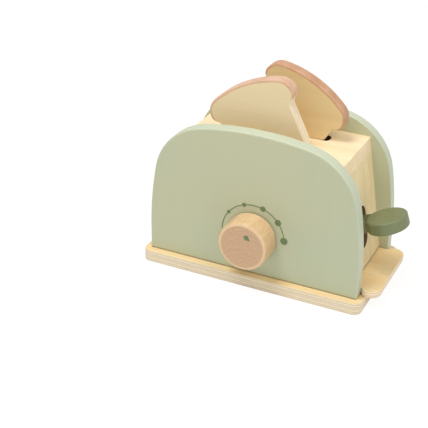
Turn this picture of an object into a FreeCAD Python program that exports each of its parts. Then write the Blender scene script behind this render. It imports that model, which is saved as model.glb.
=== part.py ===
import FreeCAD, Part
import os
from math import asin, cos, degrees, pi, radians, sin, sqrt, tan

V = FreeCAD.Vector
X, Y, Z = V(1, 0, 0), V(0, 1, 0), V(0, 0, 1)

# Toy toaster, millimetres. Origin: middle of the base's underside, X along the
# toaster, -Y towards the knob, Z up.

# Base board
base_length = 202.0
base_depth = 107.0
base_thickness = 11.0
base_corner = 7.0
board_edge_ease = 0.8

# Two upright panels, arch-shaped, with the body between them
panel_width = 191.5
panel_height = 128.3
panel_thickness = 11.0
panel_crown_radius = 264.0
panel_shoulder_radius = 54.0
panel_side_radius = 308.0
panel_crown_angle = 10.2
panel_outer_round = 1.8
panel_inner_round = 0.5
body_depth = 72.0

# Body between the panels
board_length = 142.2
board_thickness = 12.0
board_top_height = 119.3
wall_lean = 9.55
wall_thickness = 8.0
slot_length = 85.6
slot_width = 12.0
slot_offset = 16.0
slot_end_round = 4.5
tray_gap = 0.4

# Crumb tray: a tongue between the panels and a wider head outside them
tray_thickness = 5.9
tray_lift = 0.1
tray_side_clearance = 0.5
tray_overhang = 23.2
tray_head_width = 80.0
tray_head_gap = 0.5
tray_corner = 9.0
tray_inner_corner = 5.5
tray_back_clearance = 1.0

# Bread slices
bread_thickness = 11.0
bread_height = 73.6
bread_half_width = 33.2
bread_lobe_half_width = 40.2
bread_crown_radius = 94.6
bread_lobe_radius = 13.7
bread_under_radius = 6.5
bread_neck_radius = 6.0
bread_corner = 4.0
bread_edge_round = 1.6
bread_rest_gap = 0.3
front_slice_tilt = -26.5
front_slice_x = -22.7
rear_slice_tilt = 29.0
rear_slice_x = 28.0

# Lever: a disc on an arm, both leaning back by lever_tilt
lever_tilt = 19.2
paddle_diameter = 35.4
paddle_thickness = 11.0
paddle_x = 102.8
paddle_height = 63.2
paddle_round = 1.6
arm_width = 15.0
arm_thickness = 11.0
tenon_width = 9.0
tenon_thickness = 5.0
tenon_depth = 11.0
arm_peg_diameter = 4.0
lever_slot_width = 18.6
lever_slot_bottom = 34.4
lever_slot_top = 71.6
lever_travel = 8.5
lift_corner = 5.0

# Bread lift, guided on two rods
lift_length = 108.0
lift_depth = 52.0
lift_thickness = 8.0
lift_top_height = 89.3
post_thickness = 9.0
post_width = 30.0
post_x = 57.0
post_foot_height = 36.0
rod_diameter = 8.0
rod_inset = 14.0
rod_socket = 6.0
rod_clearance = 0.1
rail_width = 14.0
rail_thickness = 11.0
rail_height = 22.0
spring_wire = 1.2
spring_radius = 6.4
spring_turns = 8

# Knob and dial
knob_diameter = 43.6
knob_length = 21.0
knob_x = 1.9
knob_height = 47.6
knob_face_round = 2.2
knob_back_round = 1.2
axle_diameter = 8.0
axle_clearance = 0.08
axle_socket = 12.0
washer_diameter = 20.0
washer_thickness = 0.8
knob_gap = 0.3
collar_diameter = 20.0
collar_thickness = 7.0
screw_head_diameter = 9.0
screw_head_height = 2.2
screw_shank_diameter = 3.4
collar_screw_length = 14.0
print_thickness = 0.2
dial_radius = 28.3
dial_line_width = 0.7
dial_first_dot_angle = 142.3
dial_dot_step = 34.7
dial_lead_in = 37.1
dial_dots = [3.0, 3.7, 4.8, 5.5, 6.4]
mark_radius = 2.1
mark_length = 4.1
mark_offset = 10.5
mark_angle = 69.0
mark_tip_angle = -38.0

# Fasteners
wood_screw_length = 38.0
wood_screw_pitch = 70.0
wood_screw_recess = 0.3
dowel_diameter = 6.0
dowel_length = 18.0
dowel_in_panel = 8.0
wall_dowel_diameter = 4.0
wall_dowel_inset = 36.0
post_screw_length = 26.0
post_screw_pitch = 18.0

# How far a cutter stands proud of the face that it cuts, and turns in degrees
cut_margin = 1.0
half_turn = 180.0
full_turn = 360.0

# Values worked out from the sizes above
slope = tan(radians(wall_lean))
panel_back = body_depth / 2
panel_front = panel_back + panel_thickness
board_under = board_top_height - board_thickness
wall_step = wall_thickness / cos(radians(wall_lean))
tray_bottom = base_thickness + tray_lift
tray_top = tray_bottom + tray_thickness
knob_back_y = -panel_front - knob_gap - washer_thickness
knob_face_y = knob_back_y - knob_length
collar_y = -panel_back + knob_gap
axle_end_y = collar_y + collar_thickness
lift_bottom = lift_top_height - lift_thickness
rail_top = rail_height + rail_thickness


def wall_x(height):
    """Outer face of an end wall at a height; the wall leans in towards the top."""
    return board_length / 2 + (board_top_height - height) * slope


def box(x0, x1, y0, y1, z0, z1):
    return Part.makeBox(x1 - x0, y1 - y0, z1 - z0, V(x0, y0, z0))


def rod(diameter, start, end):
    return Part.makeCylinder(diameter / 2, (end - start).Length, start, end - start)


def along_y(points, y0, y1):
    """Prism with a closed polygon of (x, z) corners, from y0 to y1."""
    corners = [V(x, y0, z) for x, z in points]
    return Part.Face(Part.makePolygon(corners + corners[:1])).extrude(V(0, y1 - y0, 0))


def edges_where(shape, test):
    """Edges whose every sample point passes the test."""
    found = []
    for edge in shape.Edges:
        if all(test(p) for p in edge.discretize(5)):
            found.append(edge)
    return found


def upright_edges(shape):
    """Edges that stand straight up."""
    return [e for e in shape.Edges if abs(e.BoundBox.ZLength - e.Length) < 1e-6]


def polar(centre, radius, angle):
    """Point of an upright circle in XZ, the angle measured from straight up."""
    a = radians(angle)
    return V(centre.x + radius * sin(a), 0, centre.z + radius * cos(a))


def arc_xz(centre, radius, start, end):
    """Arc in the XZ plane between two angles measured from straight up."""
    middle = polar(centre, radius, (start + end) / 2)
    return Part.Arc(polar(centre, radius, start), middle, polar(centre, radius, end)).toShape()


def mirrored_outline(half):
    """Closed wire from a half outline on the +X side and its mirror image."""
    other = [edge.mirror(V(0, 0, 0), X) for edge in half]
    return Part.Wire(Part.__sortEdges__(half + other))


def panel_outline():
    """Arch: crown, shoulder and side arcs that run into each other, then straight down."""
    top = base_thickness + panel_height
    crown = V(0, 0, top - panel_crown_radius)
    shoulder = polar(crown, panel_crown_radius - panel_shoulder_radius, panel_crown_angle)
    reach = shoulder.x + panel_side_radius - panel_width / 2
    shoulder_end = degrees(asin(reach / (panel_side_radius - panel_shoulder_radius)))
    side = polar(shoulder, panel_shoulder_radius - panel_side_radius, shoulder_end)
    low = V(panel_width / 2, 0, base_thickness)
    half = [
        arc_xz(crown, panel_crown_radius, 0, panel_crown_angle),
        arc_xz(shoulder, panel_shoulder_radius, panel_crown_angle, shoulder_end),
        arc_xz(side, panel_side_radius, shoulder_end, 90),
        Part.LineSegment(V(low.x, 0, side.z), low).toShape(),
        Part.LineSegment(low, V(0, 0, base_thickness)).toShape(),
    ]
    return mirrored_outline(half)


def make_panel(sign):
    """One arch panel; sign -1 is the front one."""
    back, front = sign * panel_back, sign * panel_front
    solid = Part.Face(panel_outline()).extrude(V(0, front - back, 0))
    solid.translate(V(0, back, 0))
    outer = edges_where(solid, lambda p: abs(p.y - front) < 1e-6)
    solid = solid.makeFillet(panel_outer_round, outer)
    inner = edges_where(solid, lambda p: abs(p.y - back) < 1e-6 and p.z > base_thickness + 1e-3)
    return solid.makeFillet(panel_inner_round, inner)


def make_base():
    half_x, half_y = base_length / 2, base_depth / 2
    solid = box(-half_x, half_x, -half_y, half_y, 0, base_thickness)
    solid = solid.makeFillet(base_corner, upright_edges(solid))
    rims = edges_where(solid, lambda p: p.z < 1e-6 or p.z > base_thickness - 1e-6)
    return solid.makeFillet(board_edge_ease, rims)


def bread_slot(sign):
    """Cutter for one long slot through the top board."""
    y = sign * slot_offset
    solid = box(-slot_length / 2, slot_length / 2, y - slot_width / 2, y + slot_width / 2,
                board_under - cut_margin, board_top_height + cut_margin)
    return solid.makeFillet(slot_end_round, upright_edges(solid))


def make_top_board():
    """Board over the walls, its ends cut to the walls' lean."""
    top, low = wall_x(board_top_height), wall_x(board_under)
    solid = along_y([(-low, board_under), (low, board_under), (top, board_top_height),
                     (-top, board_top_height)], -panel_back, panel_back)
    rims = edges_where(solid, lambda p: p.z > board_top_height - 1e-6 and abs(p.x) > top - 1e-6)
    solid = solid.makeFillet(board_edge_ease, rims)
    return solid.cut(Part.makeCompound([bread_slot(-1), bread_slot(1)]))


def make_wall(sign, foot):
    """Leaning end wall from its foot up to the top board's underside."""
    low, high = wall_x(foot), wall_x(board_under)
    corners = [(sign * low, foot), (sign * high, board_under),
               (sign * (high - wall_step), board_under), (sign * (low - wall_step), foot)]
    return along_y(corners, -panel_back, panel_back)


def lever_slot():
    """Upright slot with round ends, cut straight through the right wall."""
    radius = lever_slot_width / 2
    near, far = wall_x(lever_slot_top) - 2 * wall_step, wall_x(lever_slot_bottom) + wall_step
    low, high = lever_slot_bottom + radius, lever_slot_top - radius
    middle = box(near, far, -radius, radius, low, high)
    ends = [rod(lever_slot_width, V(near, 0, z), V(far, 0, z)) for z in (low, high)]
    return middle.multiFuse(ends).removeSplitter()


def make_tray():
    """Board that slides in along X under the right wall, with a wider head to pull."""
    left = -wall_x(tray_bottom) + wall_step + tray_back_clearance
    right = wall_x(tray_top) + tray_overhang
    neck = panel_width / 2 + tray_head_gap
    half, wide = panel_back - tray_side_clearance, tray_head_width / 2
    head = box(neck, right, -wide, wide, tray_bottom, tray_top)
    outer = [e for e in upright_edges(head) if e.BoundBox.XMin > right - 1e-6]
    head = head.makeFillet(tray_corner, outer)
    inner = [e for e in upright_edges(head) if e.BoundBox.XMax < neck + 1e-6]
    head = head.makeFillet(tray_inner_corner, inner)
    solid = head.fuse(box(left, neck + tray_corner, -half, half, tray_bottom, tray_top))
    solid = solid.removeSplitter()
    rims = edges_where(solid, lambda p: p.z < tray_bottom + 1e-6 or p.z > tray_top - 1e-6)
    return solid.makeFillet(board_edge_ease, rims)


def bread_outline():
    """Slice standing up, bottom middle at the origin: crown, lobes, necks, square foot."""
    crown = V(0, 0, bread_height - bread_crown_radius)
    lobe_x = bread_lobe_half_width - bread_lobe_radius
    reach = bread_crown_radius - bread_lobe_radius
    lobe = V(lobe_x, 0, crown.z + sqrt(reach ** 2 - lobe_x ** 2))
    crown_end = degrees(asin(lobe_x / reach))
    under = V(bread_lobe_half_width - bread_under_radius, 0, lobe.z)
    neck_x = bread_half_width + bread_neck_radius
    span = bread_under_radius + bread_neck_radius
    turn = degrees(asin((neck_x - under.x) / span))
    neck = V(neck_x, 0, under.z - span * cos(radians(turn)))
    corner = V(bread_half_width - bread_corner, 0, bread_corner)
    side_top, side_low = V(bread_half_width, 0, neck.z), V(bread_half_width, 0, bread_corner)
    half = [
        arc_xz(crown, bread_crown_radius, 0, crown_end),
        arc_xz(lobe, bread_lobe_radius, crown_end, 90),
        arc_xz(under, bread_under_radius, 90, half_turn - turn),
        arc_xz(neck, bread_neck_radius, 270, full_turn - turn),
        Part.LineSegment(side_top, side_low).toShape(),
        arc_xz(corner, bread_corner, 90, 180),
        Part.LineSegment(V(corner.x, 0, 0), V(0, 0, 0)).toShape(),
    ]
    return mirrored_outline(half)


def make_slice(sign, tilt, crown_x):
    """Slice leaning in its slot, its lower corner just above the lift."""
    y = sign * slot_offset - bread_thickness / 2
    solid = Part.Face(bread_outline()).extrude(V(0, bread_thickness, 0))
    solid.translate(V(0, y, 0))
    faces = edges_where(solid, lambda p: min(abs(p.y - y), abs(p.y - y - bread_thickness)) < 1e-6)
    solid = solid.makeFillet(bread_edge_round, faces)
    solid.rotate(V(0, 0, 0), Y, tilt)
    lift = lift_top_height + bread_rest_gap - solid.BoundBox.ZMin
    lean = bread_height * sin(radians(tilt))
    solid.translate(V(crown_x - lean, 0, lift))
    return solid


def lever_place():
    """Placement of the lever's own frame: x out along the arm, z through the disc."""
    return FreeCAD.Placement(V(paddle_x, 0, paddle_height), FreeCAD.Rotation(Y, -lever_tilt))


def place_lever(solid):
    solid.Placement = lever_place().multiply(solid.Placement)
    return solid


def lever_disc(extra=0.0):
    half = paddle_thickness / 2 + extra
    return rod(paddle_diameter, V(0, 0, -half), V(0, 0, half))


def lever_tenon():
    rim = -paddle_diameter / 2
    return box(rim - 2 * cut_margin, rim + tenon_depth, -tenon_width / 2, tenon_width / 2,
               -tenon_thickness / 2, tenon_thickness / 2)


def arm_inner_end():
    """Arm's inner end along the lever's own x, flush with the post's inner face."""
    return (post_x - post_thickness / 2 - paddle_x) / cos(radians(lever_tilt))


def arm_bar():
    return box(arm_inner_end(), -paddle_diameter / 4, -arm_width / 2, arm_width / 2,
               -arm_thickness / 2, arm_thickness / 2)


def make_paddle():
    disc = lever_disc()
    rims = edges_where(disc, lambda p: abs(p.x ** 2 + p.y ** 2 - paddle_diameter ** 2 / 4) < 1e-4
                       and abs(p.z) > paddle_thickness / 2 - 1e-6)
    disc = disc.makeFillet(paddle_round, rims)
    return place_lever(disc.cut(lever_tenon()))


def make_arm():
    """Flat arm with a hollowed end that meets the disc's rim, and a tenon into it."""
    bar = arm_bar()
    long_edges = [e for e in bar.Edges if abs(e.BoundBox.XLength - e.Length) < 1e-6]
    bar = bar.makeFillet(board_edge_ease, long_edges)
    bar = bar.cut(lever_disc(cut_margin)).fuse(lever_tenon()).removeSplitter()
    return place_lever(bar).cut(arm_peg())


def arm_peg():
    """Peg that locks the arm in the post."""
    x = post_x
    z = paddle_height - (paddle_x - post_x) * tan(radians(lever_tilt))
    return rod(arm_peg_diameter, V(x, -post_width / 2, z), V(x, post_width / 2, z))


def post_screws():
    """Screws down through the lift into the post."""
    solids = []
    for y in (-post_screw_pitch / 2, post_screw_pitch / 2):
        solids.append(countersunk_screw(V(post_x, y, lift_top_height), -Z, post_screw_length))
    return solids


def make_post():
    """Upright block under the lift that holds the arm."""
    half = post_thickness / 2
    solid = box(post_x - half, post_x + half, -post_width / 2, post_width / 2,
                post_foot_height, lift_bottom)
    return solid.cut(place_lever(arm_bar())).cut(arm_peg()).cut(Part.makeCompound(post_screws()))


def rod_places():
    return [s * (lift_length / 2 - rod_inset) for s in (-1, 1)]


def make_lift():
    """Platform that carries the slices, drilled for the guide rods."""
    right = post_x + post_thickness / 2
    solid = box(-lift_length / 2, right, -lift_depth / 2, lift_depth / 2,
                lift_bottom, lift_top_height)
    solid = solid.makeFillet(lift_corner, upright_edges(solid))
    for x in rod_places():
        hole = rod(rod_diameter + 2 * rod_clearance, V(x, 0, lift_bottom - cut_margin),
                   V(x, 0, lift_top_height + cut_margin))
        solid = solid.cut(hole)
    return solid.cut(Part.makeCompound(post_screws()))


def guide_rod(x):
    """Rod from the rail's underside into a socket in the top board."""
    return rod(rod_diameter, V(x, 0, rail_height), V(x, 0, board_under + rod_socket))


def make_rail(x):
    """Cross rail between the panels, below the lift, that holds one rod's foot."""
    half = rail_width / 2
    solid = box(x - half, x + half, -panel_back, panel_back, rail_height, rail_top)
    return solid.cut(guide_rod(x)).cut(Part.makeCompound(rail_dowels(x)))


def make_spring(x):
    """Round-wire spring round a rod, each quarter turn one arc through the helix."""
    low, high = rail_top + spring_wire / 2, lift_bottom - spring_wire / 2
    quarters = 4 * spring_turns

    def point(step):
        a = step * pi / 2
        return V(x + spring_radius * cos(a), spring_radius * sin(a),
                 low + (high - low) * step / quarters)

    arcs = [Part.Arc(point(q), point(q + 0.5), point(q + 1)).toShape() for q in range(quarters)]
    start = Part.Circle(point(0), Y, spring_wire / 2).toShape()
    spring = Part.Wire(arcs).makePipeShell([Part.Wire(start)], True, False)
    gap = (high - low - lever_travel) / spring_turns - spring_wire
    print("spring: gap between turns when pressed", round(gap, 2))
    return spring


def make_knob():
    """Turned knob with a soft rim and a blind bore for its axle."""
    centre = V(knob_x, knob_back_y, knob_height)
    solid = rod(knob_diameter, centre, V(knob_x, knob_face_y, knob_height))
    face = edges_where(solid, lambda p: abs(p.y - knob_face_y) < 1e-6)
    solid = solid.makeFillet(knob_face_round, face)
    back = edges_where(solid, lambda p: abs(p.y - knob_back_y) < 1e-6)
    solid = solid.makeFillet(knob_back_round, back)
    return solid.cut(axle_blank())


def axle_blank():
    return rod(axle_diameter, V(knob_x, knob_back_y - axle_socket, knob_height),
               V(knob_x, axle_end_y, knob_height))


def ring(outer, inner, y0, y1):
    tube = rod(outer, V(knob_x, y0, knob_height), V(knob_x, y1, knob_height))
    return tube.cut(rod(inner, V(knob_x, y0 - cut_margin, knob_height),
                        V(knob_x, y1 + cut_margin, knob_height)))


def collar_screw():
    """Round-headed screw into the axle's end that keeps the collar on."""
    seat = V(knob_x, axle_end_y, knob_height)
    head = rod(screw_head_diameter, seat, seat + V(0, screw_head_height, 0))
    rim = edges_where(head, lambda p: p.y > seat.y + screw_head_height - 1e-6)
    head = head.makeFillet(screw_head_height / 2, rim)
    shank = rod(screw_shank_diameter, seat + V(0, -collar_screw_length, 0), seat)
    cross = cross_recess(seat + V(0, screw_head_height, 0), Y, screw_head_diameter)
    return head.fuse(shank).removeSplitter().cut(cross)


def cross_recess(top, axis, head):
    """Cross-shaped driver recess, sunk a sixth of the head into its top."""
    arm, width, depth = head * 0.3, head * 0.09, head / 6
    bars = box(-arm, arm, -width, width, -depth, cut_margin)
    bars = bars.fuse(box(-width, width, -arm, arm, -depth, cut_margin))
    bars.Placement = FreeCAD.Placement(top, FreeCAD.Rotation(Z, axis))
    return bars


def countersunk_screw(top, direction, length):
    """Countersunk wood screw whose head lies in the surface that it points away from."""
    head = Part.makeCone(screw_head_diameter / 2, screw_shank_diameter / 2,
                         (screw_head_diameter - screw_shank_diameter) / 2,
                         top + direction * wood_screw_recess, direction)
    start = top + direction * wood_screw_recess
    shank = rod(screw_shank_diameter, start, top + direction * length)
    solid = head.fuse(shank).removeSplitter()
    return solid.cut(cross_recess(start, -direction, screw_head_diameter))


def screw_hole(top, direction, length):
    """Hole that the screw fills, open at the surface."""
    mouth = rod(screw_head_diameter, top - direction, top + direction * wood_screw_recess)
    head = Part.makeCone(screw_head_diameter / 2, screw_shank_diameter / 2,
                         (screw_head_diameter - screw_shank_diameter) / 2,
                         top + direction * wood_screw_recess, direction)
    shank = rod(screw_shank_diameter, top, top + direction * length)
    return mouth.multiFuse([head, shank]).removeSplitter()


def base_screw_places():
    middle = (panel_back + panel_front) / 2
    return [V(step * wood_screw_pitch, side * middle, 0) for side in (-1, 1) for step in (-1, 0, 1)]


def board_dowels():
    """Dowels from the panels into the top board's long edges, outside the slots."""
    x = (slot_length / 2 + board_length / 2) / 2
    z = board_under + board_thickness / 2
    return [cross_dowel(dowel_diameter, s * x, side, z) for s in (-1, 1) for side in (-1, 1)]


def wall_dowels():
    """Dowels from the panels into the end walls' edges."""
    solids = []
    for z in (board_under - wall_dowel_inset, base_thickness + wall_dowel_inset):
        x = wall_x(z) - wall_step / 2
        for s in (-1, 1):
            for side in (-1, 1):
                solids.append(cross_dowel(wall_dowel_diameter, s * x, side, z))
    return solids


def rail_dowels(x):
    z = rail_height + rail_thickness / 2
    return [cross_dowel(dowel_diameter, x, side, z) for side in (-1, 1)]


def cross_dowel(diameter, x, side, z):
    """Dowel along Y across the joint between a panel and the body."""
    start = side * (panel_back + dowel_in_panel)
    return rod(diameter, V(x, start, z), V(x, start - side * dowel_length, z))


def dial_angle(index):
    return dial_first_dot_angle - index * dial_dot_step


def dial_point(angle, radius=dial_radius):
    a = radians(angle)
    return V(knob_x + radius * cos(a), -panel_front, knob_height + radius * sin(a))


def make_dial_print():
    """Printed arc with dots that grow along it, a thin skin on the front panel."""
    depth = V(0, -print_thickness, 0)
    start, end = dial_first_dot_angle + dial_lead_in, dial_angle(len(dial_dots) - 1)
    inner, outer = dial_radius - dial_line_width / 2, dial_radius + dial_line_width / 2
    middle = (start + end) / 2
    curves = [
        Part.Arc(dial_point(start, outer), dial_point(middle, outer), dial_point(end, outer)),
        Part.LineSegment(dial_point(end, outer), dial_point(end, inner)),
        Part.Arc(dial_point(end, inner), dial_point(middle, inner), dial_point(start, inner)),
        Part.LineSegment(dial_point(start, inner), dial_point(start, outer)),
    ]
    line = Part.Face(Part.Wire([c.toShape() for c in curves])).extrude(depth)
    dots = []
    for index, size in enumerate(dial_dots):
        centre = dial_point(dial_angle(index))
        dots.append(rod(size, centre, centre + depth))
    return line.multiFuse(dots).removeSplitter()


def make_knob_mark():
    """Small drop-shaped pointer printed on the knob's face."""
    place, way = radians(mark_angle), radians(mark_tip_angle)
    centre = V(knob_x + mark_offset * cos(place), knob_face_y,
               knob_height + mark_offset * sin(place))
    out = V(cos(way), 0, sin(way))
    lean = asin(mark_radius / mark_length)
    across = V(-out.z, 0, out.x)
    tip = centre + out * mark_length
    touch = out * (mark_radius * sin(lean))
    left = centre + touch + across * (mark_radius * cos(lean))
    right = centre + touch - across * (mark_radius * cos(lean))
    curves = [
        Part.LineSegment(tip, left),
        Part.Arc(left, centre - out * mark_radius, right),
        Part.LineSegment(right, tip),
    ]
    wire = Part.Wire([c.toShape() for c in curves])
    return Part.Face(wire).extrude(V(0, -print_thickness, 0))


def build():
    """All sub-parts by name."""
    parts = {}
    base_holes = Part.makeCompound([screw_hole(p, Z, wood_screw_length)
                                    for p in base_screw_places()])
    dowels = board_dowels() + wall_dowels()
    for x in rod_places():
        dowels += rail_dowels(x)
    dowel_cut = Part.makeCompound(dowels)
    axle_hole = rod(axle_diameter + 2 * axle_clearance,
                    V(knob_x, -panel_front - cut_margin, knob_height),
                    V(knob_x, -panel_back + cut_margin, knob_height))
    rods = [guide_rod(x) for x in rod_places()]

    parts["base_plate"] = make_base().cut(base_holes)
    parts["front_panel"] = make_panel(-1).cut(base_holes).cut(dowel_cut).cut(axle_hole)
    parts["rear_panel"] = make_panel(1).cut(base_holes).cut(dowel_cut)
    parts["top_board"] = make_top_board().cut(dowel_cut).cut(Part.makeCompound(rods))
    parts["left_end_wall"] = make_wall(-1, base_thickness).cut(dowel_cut)
    parts["right_end_wall"] = make_wall(1, tray_top + tray_gap).cut(dowel_cut).cut(lever_slot())
    parts["crumb_tray"] = make_tray()

    parts["bread_slice_front"] = make_slice(-1, front_slice_tilt, front_slice_x)
    parts["bread_slice_rear"] = make_slice(1, rear_slice_tilt, rear_slice_x)

    parts["lever_paddle"] = make_paddle()
    parts["lever_arm"] = make_arm()
    parts["arm_peg"] = arm_peg()
    parts["lever_post"] = make_post()
    parts["post_screws"] = Part.makeCompound(post_screws())
    parts["bread_lift"] = make_lift()
    parts["guide_rod_left"] = rods[0]
    parts["guide_rod_right"] = rods[1]
    parts["guide_rail_left"] = make_rail(rod_places()[0])
    parts["guide_rail_right"] = make_rail(rod_places()[1])
    parts["lift_spring_left"] = make_spring(rod_places()[0])
    parts["lift_spring_right"] = make_spring(rod_places()[1])

    parts["knob"] = make_knob()
    parts["knob_axle"] = axle_blank().cut(collar_screw())
    parts["knob_washer"] = ring(washer_diameter, axle_diameter, knob_back_y,
                                knob_back_y + washer_thickness)
    parts["knob_collar"] = ring(collar_diameter, axle_diameter, collar_y, axle_end_y)
    parts["collar_screw"] = collar_screw()
    parts["knob_mark"] = make_knob_mark()
    parts["dial_print"] = make_dial_print()

    parts["base_screws"] = Part.makeCompound(
        [countersunk_screw(p, Z, wood_screw_length) for p in base_screw_places()])
    parts["board_dowels"] = Part.makeCompound(board_dowels())
    parts["wall_dowels"] = Part.makeCompound(wall_dowels())
    parts["rail_dowels"] = Part.makeCompound(rail_dowels(rod_places()[0])
                                             + rail_dowels(rod_places()[1]))
    return parts


os.makedirs("parts", exist_ok=True)
for name, shape in build().items():
    box_size = shape.BoundBox
    print(name, "valid", shape.isValid(), "solids", len(shape.Solids),
          "volume", round(shape.Volume, 1),
          "x", round(box_size.XMin, 1), round(box_size.XMax, 1),
          "y", round(box_size.YMin, 1), round(box_size.YMax, 1),
          "z", round(box_size.ZMin, 1), round(box_size.ZMax, 1))
    shape.exportStep("parts/" + name + ".step")
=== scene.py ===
# Wooden play toaster: finishes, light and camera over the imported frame.
import math
import bpy
from mathutils import Matrix, Vector


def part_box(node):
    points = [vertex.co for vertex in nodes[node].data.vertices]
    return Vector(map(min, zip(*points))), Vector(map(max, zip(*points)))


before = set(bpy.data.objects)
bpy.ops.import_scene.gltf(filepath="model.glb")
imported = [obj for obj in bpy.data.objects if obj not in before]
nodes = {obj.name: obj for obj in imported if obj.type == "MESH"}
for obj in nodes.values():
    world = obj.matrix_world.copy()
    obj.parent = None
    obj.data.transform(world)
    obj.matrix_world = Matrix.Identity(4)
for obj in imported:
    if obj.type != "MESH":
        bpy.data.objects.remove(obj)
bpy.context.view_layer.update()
print("frame loaded:", len(nodes), "nodes")


def tint(red, green, blue):
    # screen colour 0..255 to the linear value that the shader wants
    out = []
    for v in (red / 255, green / 255, blue / 255):
        out.append(v / 12.92 if v <= 0.04045 else ((v + 0.055) / 1.055) ** 2.4)
    return out + [1.0]


class Finish:
    # a material under construction: a node tree with short ways to add to it

    def __init__(self, name):
        self.material = bpy.data.materials.new(name)
        self.material.use_nodes = True
        self.tree = self.material.node_tree
        self.tree.nodes.clear()
        self.out = self.add("ShaderNodeOutputMaterial")
        self.shader = self.add("ShaderNodeBsdfPrincipled")
        self.link(self.shader.outputs["BSDF"], self.out.inputs["Surface"])
        self.place = self.add("ShaderNodeTexCoord")

    def add(self, kind, **settings):
        node = self.tree.nodes.new(kind)
        for key, value in settings.items():
            setattr(node, key, value)
        return node

    def link(self, source, target):
        self.tree.links.new(source, target)

    def put(self, target, value):
        # a socket is linked, a number or colour is written on the input
        if isinstance(value, bpy.types.NodeSocket):
            self.link(value, target)
        else:
            target.default_value = value

    def math(self, operation, first, second=0.0):
        node = self.add("ShaderNodeMath", operation=operation)
        self.put(node.inputs[0], first)
        self.put(node.inputs[1], second)
        return node.outputs[0]

    def span(self, value, low, high, start=0.0, end=1.0, smooth=False):
        # low..high becomes start..end, held at both ends
        node = self.add("ShaderNodeMapRange", interpolation_type="SMOOTHSTEP" if smooth else "LINEAR")
        for index, item in enumerate((value, low, high, start, end)):
            self.put(node.inputs[index], item)
        return node.outputs[0]

    def fade(self, value, low, high, amount=1.0, smooth=False):
        # low..high becomes amount..0
        return self.span(value, low, high, amount, 0.0, smooth)

    def dulled(self, value, look, low=0.0, high=1.0):
        # roughness that goes from just under the look's own to just over it
        return self.span(value, low, high, look["rough"] - look["smoother"], look["rough"] + look["rougher"])

    def mapped(self, scale=(1, 1, 1), turn=(0, 0, 0), shift=(0, 0, 0)):
        # object position in metres, scaled, then turned, then shifted
        node = self.add("ShaderNodeMapping")
        self.link(self.place.outputs["Object"], node.inputs["Vector"])
        node.inputs["Scale"].default_value = scale
        node.inputs["Rotation"].default_value = turn
        node.inputs["Location"].default_value = shift
        return node.outputs[0]

    def parts(self, vector):
        # the outputs are named X, Y and Z
        node = self.add("ShaderNodeSeparateXYZ")
        self.link(vector, node.inputs[0])
        return node.outputs

    def noise(self, scale, detail=2, roughness=0.5, distortion=0.0, vector=None):
        # over the object position, or over a vector of its own
        node = self.add("ShaderNodeTexNoise")
        self.link(self.mapped() if vector is None else vector, node.inputs["Vector"])
        node.inputs["Scale"].default_value = scale
        node.inputs["Detail"].default_value = detail
        node.inputs["Roughness"].default_value = roughness
        node.inputs["Distortion"].default_value = distortion
        return node.outputs["Fac"]

    def grain(self, axis, along, across, **settings):
        # noise drawn out along one axis: its scale along that axis and across it
        scale = tuple(along if a == axis else across for a in "XYZ")
        return self.noise(1.0, vector=self.mapped(scale), **settings)

    def times(self, first, second):
        return self.math("MULTIPLY", first, second)

    def offset(self, value, centre):
        # distance from a centre value, without its sign
        return self.math("ABSOLUTE", self.math("SUBTRACT", value, centre))

    def length(self, first, second):
        # root of the sum of two squares
        square = self.math("ADD", self.times(first, first), self.times(second, second))
        return self.math("SQRT", square)

    def mix(self, amount, first, second):
        # inputs 6 and 7 and output 2 are the node's colour sockets
        node = self.add("ShaderNodeMix", data_type="RGBA")
        self.put(node.inputs[0], amount)
        self.put(node.inputs[6], first)
        self.put(node.inputs[7], second)
        return node.outputs[2]

    def facing(self, axis):
        # 1 where the surface faces along the axis, either way, 0 where it runs beside it
        return self.math("ABSOLUTE", self.parts(self.place.outputs["Normal"])[axis])

    def relief(self, height, distance):
        # fine relief in metres
        node = self.add("ShaderNodeBump")
        node.inputs["Strength"].default_value = 1.0
        node.inputs["Distance"].default_value = distance
        self.link(height, node.inputs["Height"])
        self.link(node.outputs[0], self.shader.inputs["Normal"])

    def surface(self, colour, rough, metallic=0.0):
        self.colour = colour
        self.put(self.shader.inputs["Base Color"], colour)
        self.put(self.shader.inputs["Roughness"], rough)
        self.shader.inputs["Metallic"].default_value = metallic


# Noise stays near 0.5: the part of its range that is stretched to 0..1
softNoise = (0.35, 0.65)
wideNoise = (0.3, 0.7)

# Every wood: noise scales along and across the grain, and relief in metres
board = {
    "bandAlong": 4, "bandPitch": 90, "bandWarp": 0.6, "fibreAlong": 30, "fibreAcross": 900,
    "rough": 0.55, "smoother": 0.05, "rougher": 0.08, "relief": 0.00004, "broadFrom": (0.6, 0.9),
}
# Every ply: its layers waver a little, and the cut edge has specks
ply = dict(board, wobbleScale=40, wobble=0.25, speckAlong=700, speckAcross=260, speckFrom=(0.5, 0.75))


def woodFace(finish, look):
    # two tones in slow bands with darker fine fibres over them; the fibres are the relief too
    axis = look["grain"]
    bands = finish.grain(axis, look["bandAlong"], look["bandPitch"], distortion=look["bandWarp"])
    fibres = finish.grain(axis, look["fibreAlong"], look["fibreAcross"], detail=3, roughness=0.6)
    bands = finish.span(bands, *softNoise, smooth=True)
    fibres = finish.span(fibres, *wideNoise)
    colour = finish.mix(bands, tint(*look["light"]), tint(*look["dark"]))
    return finish.mix(finish.times(fibres, look["fibre"]), colour, tint(*look["line"])), fibres


def plainWood(name, look):
    # a board with the same grain all over; painted shade along its foot or in its cuts where look asks
    finish = Finish(name)
    colour, fibres = woodFace(finish, look)
    if "foot" in look:
        colour = paintedFootShade(finish, colour, look)
    if "cutAxis" in look:
        colour = paintedCutShade(finish, colour, look)
    finish.surface(colour, finish.dulled(fibres, look))
    finish.relief(fibres, look["relief"])
    return finish


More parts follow.
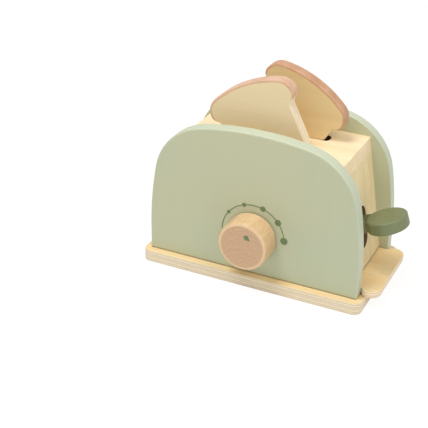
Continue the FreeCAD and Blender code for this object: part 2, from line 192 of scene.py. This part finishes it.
def plyWood(name, look):
    # face grain on the two broad sides, thin layers across the cut edge
    finish = Finish(name)
    face, fibres = woodFace(finish, look)

    across = finish.parts(finish.mapped())[look["stack"]]
    layer = finish.math("DIVIDE", finish.math("SUBTRACT", across, look["bottom"]), look["layer"])
    layer = finish.math("ADD", layer, finish.times(finish.noise(look["wobbleScale"]), look["wobble"]))
    turn = finish.math("PINGPONG", layer, 1.0)
    stripe = finish.span(turn, *softNoise, smooth=True)
    glue = finish.fade(finish.offset(turn, 0.5), 0.0, look["glueWidth"])
    specks = finish.grain(look["stack"], look["speckAlong"], look["speckAcross"], roughness=0.6)
    specks = finish.span(specks, *look["speckFrom"], 0.0, look["speck"])
    edge = finish.mix(stripe, tint(*look["edgeLight"]), tint(*look["edgeDark"]))
    edge = finish.mix(finish.times(glue, look["glue"]), edge, tint(*look["glueLine"]))
    edge = finish.mix(specks, edge, tint(*look["glueLine"]))

    broad = finish.span(finish.facing(look["stack"]), *look["broadFrom"], smooth=True)
    finish.surface(finish.mix(broad, edge, face), finish.dulled(fibres, look))
    finish.relief(fibres, look["relief"])
    return finish


def paintedFootShade(finish, colour, look):
    # painted shade: a soft dark line just above the height where a board meets the one below
    height = finish.parts(finish.mapped())["Z"]
    top = look["foot"] + look["footDepth"]
    line = finish.fade(height, look["foot"], top, look["footAmount"], smooth=True)
    return finish.mix(line, colour, tint(*look["footShadeTint"]))


def paintedCutShade(finish, colour, look):
    # painted shade: dark brown on the walls of a cut for the shade inside it;
    # inside a reach in X and Y, off the board's broad axis
    spot = finish.parts(finish.mapped())
    beside = finish.fade(finish.facing(look["cutAxis"]), *look["broadFrom"])
    for axis, reach in zip("XY", look["cutReach"]):
        near = finish.math("LESS_THAN", finish.math("ABSOLUTE", spot[axis]), reach)
        beside = finish.times(beside, near)
    return finish.mix(beside, colour, tint(*look["cutShadeTint"]))


def dress(finish, *names):
    for name in names:
        for slot in nodes[name].material_slots:
            slot.material = finish.material


# Paint on bare board: thin and satin, the upright grain below just showing
paint = {
    "smoother": 0.04, "rougher": 0.05, "driftScale": 9, "streakAlong": 5, "streakWarp": 0.3,
    "streakRelief": 0.7, "peelScale": 1600, "peel": 0.00001, "rimFrom": (0.55, 0.98),
}
# rim is a painted highlight: the colour of the rounded rim where light falls on it
panelPaint = dict(paint, main=(195, 197, 165), cool=(188, 196, 168), rim=(198, 206, 183), rimAxis="Y",
                  rough=0.5, streakPitch=140, streak=0.25,
                  foot=0.0110, footDepth=0.0012, footAmount=0.75, footShadeTint=(112, 106, 66))
leverPaint = dict(paint, main=(127, 130, 91), cool=(118, 127, 92), rim=(122, 131, 94), rimAxis="Z",
                  rough=0.45, streakPitch=200, streak=0.5)


def paintFinish(name, look):
    # two near tones drift over the surface, faint streaks follow the board below; a painted highlight
    # lightens the colour over the rounded rim, where light falls on it
    finish = Finish(name)
    drift = finish.span(finish.noise(look["driftScale"]), *softNoise, smooth=True)
    streaks = finish.grain("Z", look["streakAlong"], look["streakPitch"], detail=3, roughness=0.55,
                           distortion=look["streakWarp"])
    streaks = finish.span(streaks, *wideNoise, smooth=True)
    drift = finish.times(drift, 1 - look["streak"])
    amount = finish.math("ADD", drift, finish.times(streaks, look["streak"]))
    colour = finish.mix(amount, tint(*look["main"]), tint(*look["cool"]))
    # painted highlight: faces turned away from rimAxis take the lighter rim colour
    edge = finish.fade(finish.facing(look["rimAxis"]), *look["rimFrom"], smooth=True)
    colour = finish.mix(edge, colour, tint(*look["rim"]))
    if "foot" in look:
        colour = paintedFootShade(finish, colour, look)
    finish.surface(colour, finish.dulled(streaks, look))
    peel = finish.noise(look["peelScale"])
    finish.relief(finish.math("ADD", peel, finish.times(streaks, look["streakRelief"])), look["peel"])
    return finish


dress(paintFinish("sagePaint", panelPaint), "front_panel", "rear_panel")
dress(paintFinish("olivePaint", leverPaint), "lever_paddle", "lever_arm")
print("paint done")

# Boards
basePly = dict(ply, grain="X", light=(248, 225, 178), dark=(240, 211, 160), line=(224, 192, 140),
               fibre=0.35, stack="Z", bottom=0.0, layer=0.0022,
               edgeLight=(240, 227, 200), edgeDark=(232, 217, 190), glue=0.8, glueWidth=0.12,
               glueLine=(186, 156, 126), speck=0.22)
trayPly = dict(basePly, light=(252, 229, 182), dark=(248, 219, 167), line=(228, 192, 136), bottom=0.0111,
               layer=0.00198, edgeLight=(250, 232, 204), edgeDark=(240, 218, 186))
dress(plyWood("basePly", basePly), "base_plate")
dress(plyWood("trayPly", trayPly), "crumb_tray")

topBoard = dict(board, grain="X", light=(252, 233, 198), dark=(247, 223, 182), line=(236, 206, 160),
                fibre=0.3, cutAxis="Z", cutReach=(0.05, 0.03), cutShadeTint=(118, 80, 50))
endBoard = dict(board, grain="Z", light=(246, 230, 187), dark=(239, 219, 169), line=(220, 192, 140),
                fibre=0.35, bandPitch=130, footDepth=0.0014, footAmount=0.75, footShadeTint=(120, 92, 56))
leftBoard = dict(endBoard, foot=0.0110)
rightBoard = dict(endBoard, foot=0.0174, cutAxis="X", cutReach=(0.1, 0.0096), cutShadeTint=(160, 128, 94))
dress(plainWood("topBoard", topBoard), "top_board")
dress(plainWood("leftBoard", leftBoard), "left_end_wall")
dress(plainWood("rightBoard", rightBoard), "right_end_wall")

# Hidden wood inside the body
innerWood = dict(board, grain="X", light=(228, 205, 165), dark=(214, 188, 144), line=(190, 160, 116),
                 fibre=0.4, rough=0.65)
dress(plainWood("innerWood", innerWood), "bread_lift", "lever_post")
dress(plainWood("railWood", dict(innerWood, grain="Y")), "guide_rail_left", "guide_rail_right")
pegWood = dict(innerWood, light=(220, 190, 146), dark=(204, 170, 124), line=(176, 140, 96))
dress(plainWood("rodWood", dict(pegWood, grain="Z")), "guide_rod_left", "guide_rod_right")
dress(plainWood("pegWood", dict(pegWood, grain="Y")), "arm_peg", "board_dowels", "wall_dowels",
      "rail_dowels", "knob_axle", "knob_collar")
print("boards done")

# Bread slices: pale ply with a stained crust over the domed top
sliceShape = {
    "height": 0.0736, "crownRadius": 0.0946, "lobeRadius": 0.0137, "lobeHalfWidth": 0.0402,
    "halfWidth": 0.0332, "corner": 0.004,
}
# Crust: all depths are inside the outline, in metres
crustShape = {
    "wanderScale": 160, "wander": 0.0016, "stainDepth": (0.0014, 0.0026), "lineDepth": 0.0019,
    "lineWidth": 0.0009, "lineAmount": 0.5, "fadeBelowLobe": (0.008, 0.003), "patchScale": 90,
    "patchFrom": (0.35, 0.7),
}
frontSlice = dict(ply, node="bread_slice_front", lean=-26.5, crownX=-0.0227, grain="X",
                  light=(239, 220, 182), dark=(235, 215, 175), line=(222, 198, 154), fibre=0.2,
                  bandPitch=40, rough=0.6, stack="Y", bottom=-0.0215, layer=0.0022,
                  edgeLight=(250, 237, 212), edgeDark=(238, 222, 192), glue=0.45, glueWidth=0.1,
                  glueLine=(206, 178, 140), speck=0.3,
                  crust=(220, 184, 158), crustDark=(206, 166, 138), crustLine=(212, 160, 110))
rearSlice = dict(frontSlice, node="bread_slice_rear", lean=29.0, crownX=0.028, bottom=0.0105,
                 light=(232, 208, 158), dark=(226, 200, 148), crust=(206, 162, 130),
                 crustDark=(192, 146, 112))


def breadFinish(name, look, shape, stain):
    # ply, and over it a stain worked out from the slice's own outline: the depth inside the
    # outline is crownRadius less the distance to the crown's centre under the crown arc, and
    # lobeRadius less the distance to the lobe's centre beyond it
    finish = plyWood(name, look)
    lean = math.radians(look["lean"])
    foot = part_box(look["node"])[0][2] + shape["corner"] * (1 - math.cos(lean))
    foot += (shape["halfWidth"] - shape["corner"]) * abs(math.sin(lean))
    middle = Vector((look["crownX"] - shape["height"] * math.sin(lean), 0, foot))
    back = Matrix.Rotation(-lean, 3, "Y")
    spot = finish.parts(finish.mapped(turn=(0, -lean, 0), shift=-(back @ middle)))
    side, height = finish.math("ABSOLUTE", spot["X"]), spot["Z"]

    lobeX = shape["lobeHalfWidth"] - shape["lobeRadius"]
    reach = shape["crownRadius"] - shape["lobeRadius"]
    crownZ = shape["height"] - shape["crownRadius"]
    lobeZ = crownZ + math.sqrt(reach ** 2 - lobeX ** 2)

    def depth(radius, centreX, centreZ):
        across, upward = finish.math("SUBTRACT", side, centreX), finish.math("SUBTRACT", height, centreZ)
        return finish.math("SUBTRACT", radius, finish.length(across, upward))

    # the lobe's arc starts beyond the line from the crown's centre through the lobe's centre
    outward = finish.times(side, (lobeZ - crownZ) / reach)
    upward = finish.times(finish.math("SUBTRACT", height, crownZ), lobeX / reach)
    beyond = finish.math("GREATER_THAN", finish.math("SUBTRACT", outward, upward), 0.0)
    inCrown = depth(shape["crownRadius"], 0.0, crownZ)
    inLobe = depth(shape["lobeRadius"], lobeX, lobeZ)
    inside = finish.math("ADD", finish.times(beyond, inLobe),
                         finish.times(finish.math("SUBTRACT", 1.0, beyond), inCrown))

    drift = finish.math("SUBTRACT", finish.noise(stain["wanderScale"], detail=3, roughness=0.6), 0.5)
    inside = finish.math("ADD", inside, finish.times(drift, stain["wander"]))
    fadeLow, fadeHigh = stain["fadeBelowLobe"]
    upper = finish.span(height, lobeZ - fadeLow, lobeZ - fadeHigh, smooth=True)
    stained = finish.times(finish.fade(inside, *stain["stainDepth"], smooth=True), upper)
    line = finish.fade(finish.offset(inside, stain["lineDepth"]), 0.0, stain["lineWidth"])
    line = finish.times(line, upper)
    patches = finish.noise(stain["patchScale"], detail=3, roughness=0.6)
    patches = finish.span(patches, *stain["patchFrom"], smooth=True)
    crust = finish.mix(patches, tint(*look["crust"]), tint(*look["crustDark"]))
    colour = finish.mix(stained, finish.colour, crust)
    colour = finish.mix(finish.times(line, stain["lineAmount"]), colour, tint(*look["crustLine"]))
    finish.put(finish.shader.inputs["Base Color"], colour)
    return finish


dress(breadFinish("frontBread", frontSlice, sliceShape, crustShape), "bread_slice_front")
dress(breadFinish("rearBread", rearSlice, sliceShape, crustShape), "bread_slice_rear")
print("bread done")

# Turned knob: growth rings and rays on the end grain, straight grain round the side
# rim and rimAmount paint a highlight over the rounded edge of the knob's face
knobLook = {
    "face": (206, 171, 137), "faceRing": (197, 157, 125), "ray": (224, 192, 156), "rim": (240, 210, 170),
    "side": (227, 196, 154), "sideDark": (217, 182, 138), "sideLine": (202, 164, 118),
    "ringPitch": 0.0019, "rough": 0.5, "smoother": 0.05, "rougher": 0.08,
    "pith": (0.0040, 0.0190), "axis": (0.0019, 0.0476), "faceRadius": 0.0180, "radius": 0.0202,
    "rimAmount": 0.8, "ringAmount": 0.45, "ringFrom": (0.2, 0.9),
    "bendScale": 60, "bend": 0.014, "rayTurns": 26, "rayPitch": 260, "rayFrom": (0.5, 0.72),
    "rayAmount": 0.4, "bandAlong": 12, "bandPitch": 150, "fibreAlong": 120, "fibreAcross": 1100,
    "fibreFrom": (0.45, 0.75), "fibre": 0.6, "frontFrom": (0.75, 0.97), "ringRelief": 0.5,
    "relief": 0.00003,
}


def fromPoint(finish, point):
    # position along X and Z from a point on the knob's face
    spot = finish.parts(finish.mapped(shift=(-point[0], 0, -point[1])))
    return spot["X"], spot["Z"]


def knobFinish(name, look):
    # rings: distance from the pith, bent by noise; rays: noise drawn out away from the pith
    finish = Finish(name)
    across, upward = fromPoint(finish, look["pith"])
    distance = finish.length(across, upward)
    bend = finish.times(finish.noise(look["bendScale"], detail=3, roughness=0.55), look["bend"])
    bent = finish.math("DIVIDE", finish.math("ADD", distance, bend), look["ringPitch"])
    rings = finish.span(finish.math("PINGPONG", bent, 1.0), *look["ringFrom"], smooth=True)
    polar = finish.add("ShaderNodeCombineXYZ")
    angle = finish.math("ARCTAN2", upward, across)
    finish.put(polar.inputs["X"], finish.times(angle, look["rayTurns"]))
    finish.put(polar.inputs["Y"], finish.times(distance, look["rayPitch"]))
    rays = finish.span(finish.noise(1.0, roughness=0.6, vector=polar.outputs[0]), *look["rayFrom"])
    face = finish.mix(finish.times(rings, look["ringAmount"]), tint(*look["face"]), tint(*look["faceRing"]))
    face = finish.mix(finish.times(rays, look["rayAmount"]), face, tint(*look["ray"]))
    # painted highlight: a lighter ring over the rounded edge of the face
    away = finish.length(*fromPoint(finish, look["axis"]))
    rim = finish.span(away, look["faceRadius"], look["radius"], 0.0, look["rimAmount"], smooth=True)
    face = finish.mix(rim, face, tint(*look["rim"]))

    bands = finish.grain("Y", look["bandAlong"], look["bandPitch"])
    bands = finish.span(bands, *softNoise, smooth=True)
    fibres = finish.grain("Y", look["fibreAlong"], look["fibreAcross"], detail=3, roughness=0.6)
    side = finish.mix(bands, tint(*look["side"]), tint(*look["sideDark"]))
    lines = finish.span(fibres, *look["fibreFrom"], 0.0, look["fibre"])
    side = finish.mix(lines, side, tint(*look["sideLine"]))

    front = finish.span(finish.facing("Y"), *look["frontFrom"], smooth=True)
    finish.surface(finish.mix(front, side, face), finish.dulled(fibres, look, *wideNoise))
    finish.relief(finish.math("ADD", fibres, finish.times(rings, look["ringRelief"])), look["relief"])
    return finish


dress(knobFinish("knobBeech", knobLook), "knob")

# Printed dial and knob mark
dialPrint = {
    "ink": (108, 128, 86), "worn": (124, 142, 104), "rough": 0.6, "smoother": 0.0, "rougher": 0.1,
    "poreScale": 900, "poreFrom": (0.45, 0.75), "wear": 0.7, "relief": 0.00001,
}


def printFinish(name, look):
    # ink that thins here and there over the board's pores
    finish = Finish(name)
    pores = finish.noise(look["poreScale"], detail=3, roughness=0.6)
    thin = finish.span(pores, *look["poreFrom"], 0.0, look["wear"])
    colour = finish.mix(thin, tint(*look["ink"]), tint(*look["worn"]))
    finish.surface(colour, finish.dulled(thin, look, 0.0, look["wear"]))
    finish.relief(thin, look["relief"])
    return finish


dress(printFinish("dialInk", dialPrint), "dial_print", "knob_mark")

# Small metal and the nylon washer
steel = {
    "light": (205, 206, 208), "dark": (160, 162, 166), "rough": 0.32, "smoother": 0.08, "rougher": 0.12,
    "cloudScale": 260, "scratchAlong": 100, "scratchAcross": 1400, "relief": 0.000005,
}
nylon = dict(dialPrint, ink=(236, 233, 226), worn=(226, 222, 214), rough=0.4)


def steelFinish(name, look):
    # plated steel: cloudy tone, fine scratches in the roughness
    finish = Finish(name)
    cloud = finish.span(finish.noise(look["cloudScale"], detail=3), *softNoise, smooth=True)
    colour = finish.mix(cloud, tint(*look["light"]), tint(*look["dark"]))
    scratch = finish.grain("Y", look["scratchAlong"], look["scratchAcross"])
    finish.surface(colour, finish.dulled(scratch, look, *wideNoise), metallic=1.0)
    finish.relief(scratch, look["relief"])
    return finish


dress(steelFinish("platedSteel", steel), "base_screws", "post_screws", "collar_screw")
dress(steelFinish("springWire", dict(steel, light=(190, 192, 196), rough=0.28)),
      "lift_spring_left", "lift_spring_right")
dress(printFinish("nylon", nylon), "knob_washer")
print("small parts done")

# Floor, light and camera
studio = {
    "floorSize": 6.0, "floorColour": (242, 241, 238), "floorDarker": 4, "floorMottle": 3.0,
    "floorRough": 0.9, "floorGlow": 0.8, "white": 1.09,
    "sky": 0.59, "skyColour": (255, 254, 252),
    "lamps": [
        {"name": "overhead", "at": (-0.25, -0.35, 1.25), "aim": (0, 0, 0.06), "size": 0.55, "watts": 7.8,
         "colour": (255, 254, 250)},
        {"name": "sideFill", "at": (0.75, -0.35, 1.0), "aim": (0.08, 0, 0.04), "size": 0.8, "watts": 3.6,
         "colour": (255, 252, 246)},
    ],
}


def makeFloor(look):
    half = look["floorSize"] / 2
    mesh = bpy.data.meshes.new("floor")
    corners = [(-half, -half, 0), (half, -half, 0), (half, half, 0), (-half, half, 0)]
    mesh.from_pydata(corners, [], [(0, 1, 2, 3)])
    floor = bpy.data.objects.new("floor", mesh)
    bpy.context.collection.objects.link(floor)
    finish = Finish("floorPaper")
    mottle = finish.span(finish.noise(look["floorMottle"]), *wideNoise)
    shade = tuple(v - look["floorDarker"] for v in look["floorColour"])
    colour = finish.mix(mottle, tint(*look["floorColour"]), tint(*shade))
    finish.surface(colour, look["floorRough"])
    # seen straight from the camera, or in a reflection, the paper is nearly white but keeps its shadow
    ray = finish.add("ShaderNodeLightPath")
    seen = finish.math("MAXIMUM", ray.outputs["Is Camera Ray"], ray.outputs["Is Glossy Ray"])
    seen = finish.math("MAXIMUM", seen, ray.outputs["Is Transmission Ray"])
    glow = finish.add("ShaderNodeEmission")
    glow.inputs["Color"].default_value = (1, 1, 1, 1)
    glow.inputs["Strength"].default_value = look["white"]
    blend = finish.add("ShaderNodeMixShader")
    finish.link(finish.times(seen, look["floorGlow"]), blend.inputs[0])
    finish.link(finish.shader.outputs[0], blend.inputs[1])
    finish.link(glow.outputs[0], blend.inputs[2])
    finish.link(blend.outputs[0], finish.out.inputs["Surface"])
    mesh.materials.append(finish.material)


def makeSky(look):
    # soft even light; white where the camera or a reflection looks at it
    world = bpy.data.worlds.new("studio")
    bpy.context.scene.world = world
    world.use_nodes = True
    tree = world.node_tree
    back = tree.nodes["Background"]
    back.inputs["Color"].default_value = tint(*look["skyColour"])
    ray = tree.nodes.new("ShaderNodeLightPath")
    strength = tree.nodes.new("ShaderNodeMapRange")
    seen = tree.nodes.new("ShaderNodeMath")
    seen.operation = "MAXIMUM"
    tree.links.new(ray.outputs["Is Camera Ray"], seen.inputs[0])
    tree.links.new(ray.outputs["Is Transmission Ray"], seen.inputs[1])
    tree.links.new(seen.outputs[0], strength.inputs[0])
    strength.inputs[3].default_value = look["sky"]
    strength.inputs[4].default_value = look["white"]
    tree.links.new(strength.outputs[0], back.inputs["Strength"])


def makeLamp(lamp):
    data = bpy.data.lights.new(lamp["name"], "AREA")
    data.shape = "DISK"
    data.size = lamp["size"]
    data.energy = lamp["watts"]
    data.color = tint(*lamp["colour"])[:3]
    item = bpy.data.objects.new(lamp["name"], data)
    bpy.context.collection.objects.link(item)
    item.location = lamp["at"]
    way = Vector(lamp["at"]) - Vector(lamp["aim"])
    item.rotation_euler = way.to_track_quat("Z", "Y").to_euler()


makeFloor(studio)
makeSky(studio)
for lamp in studio["lamps"]:
    makeLamp(lamp)

# Camera, in metres and degrees, lens and sensor in millimetres; roll tips the frame a little
shot = {
    "azimuth": 25.677, "elevation": 28.212, "roll": 0.792, "distance": 0.92448,
    "lens": 86.21, "sensor": 36, "aim": (-0.056784, 0.0, 0.031122), "clip": (0.01, 50),
}


def makeCamera(look):
    # back points from the aim to the camera; right and up follow from the azimuth
    azimuth, elevation, roll = (math.radians(look[k]) for k in ("azimuth", "elevation", "roll"))
    level = math.cos(elevation)
    back = Vector((math.sin(azimuth) * level, -math.cos(azimuth) * level, math.sin(elevation)))
    right = Vector((math.cos(azimuth), math.sin(azimuth), 0))
    up = back.cross(right)
    tiltedRight = right * math.cos(roll) + up * math.sin(roll)
    tiltedUp = up * math.cos(roll) - right * math.sin(roll)
    data = bpy.data.cameras.new("camera")
    data.lens = look["lens"]
    data.sensor_width = look["sensor"]
    data.clip_start, data.clip_end = look["clip"]
    camera = bpy.data.objects.new("camera", data)
    bpy.context.collection.objects.link(camera)
    turn = Matrix((tiltedRight, tiltedUp, back)).transposed()
    camera.matrix_world = Matrix.Translation(Vector(look["aim"]) + back * look["distance"]) @ turn.to_4x4()
    bpy.context.scene.camera = camera


makeCamera(shot)
bpy.context.scene.view_settings.view_transform = "Standard"
print("studio done")
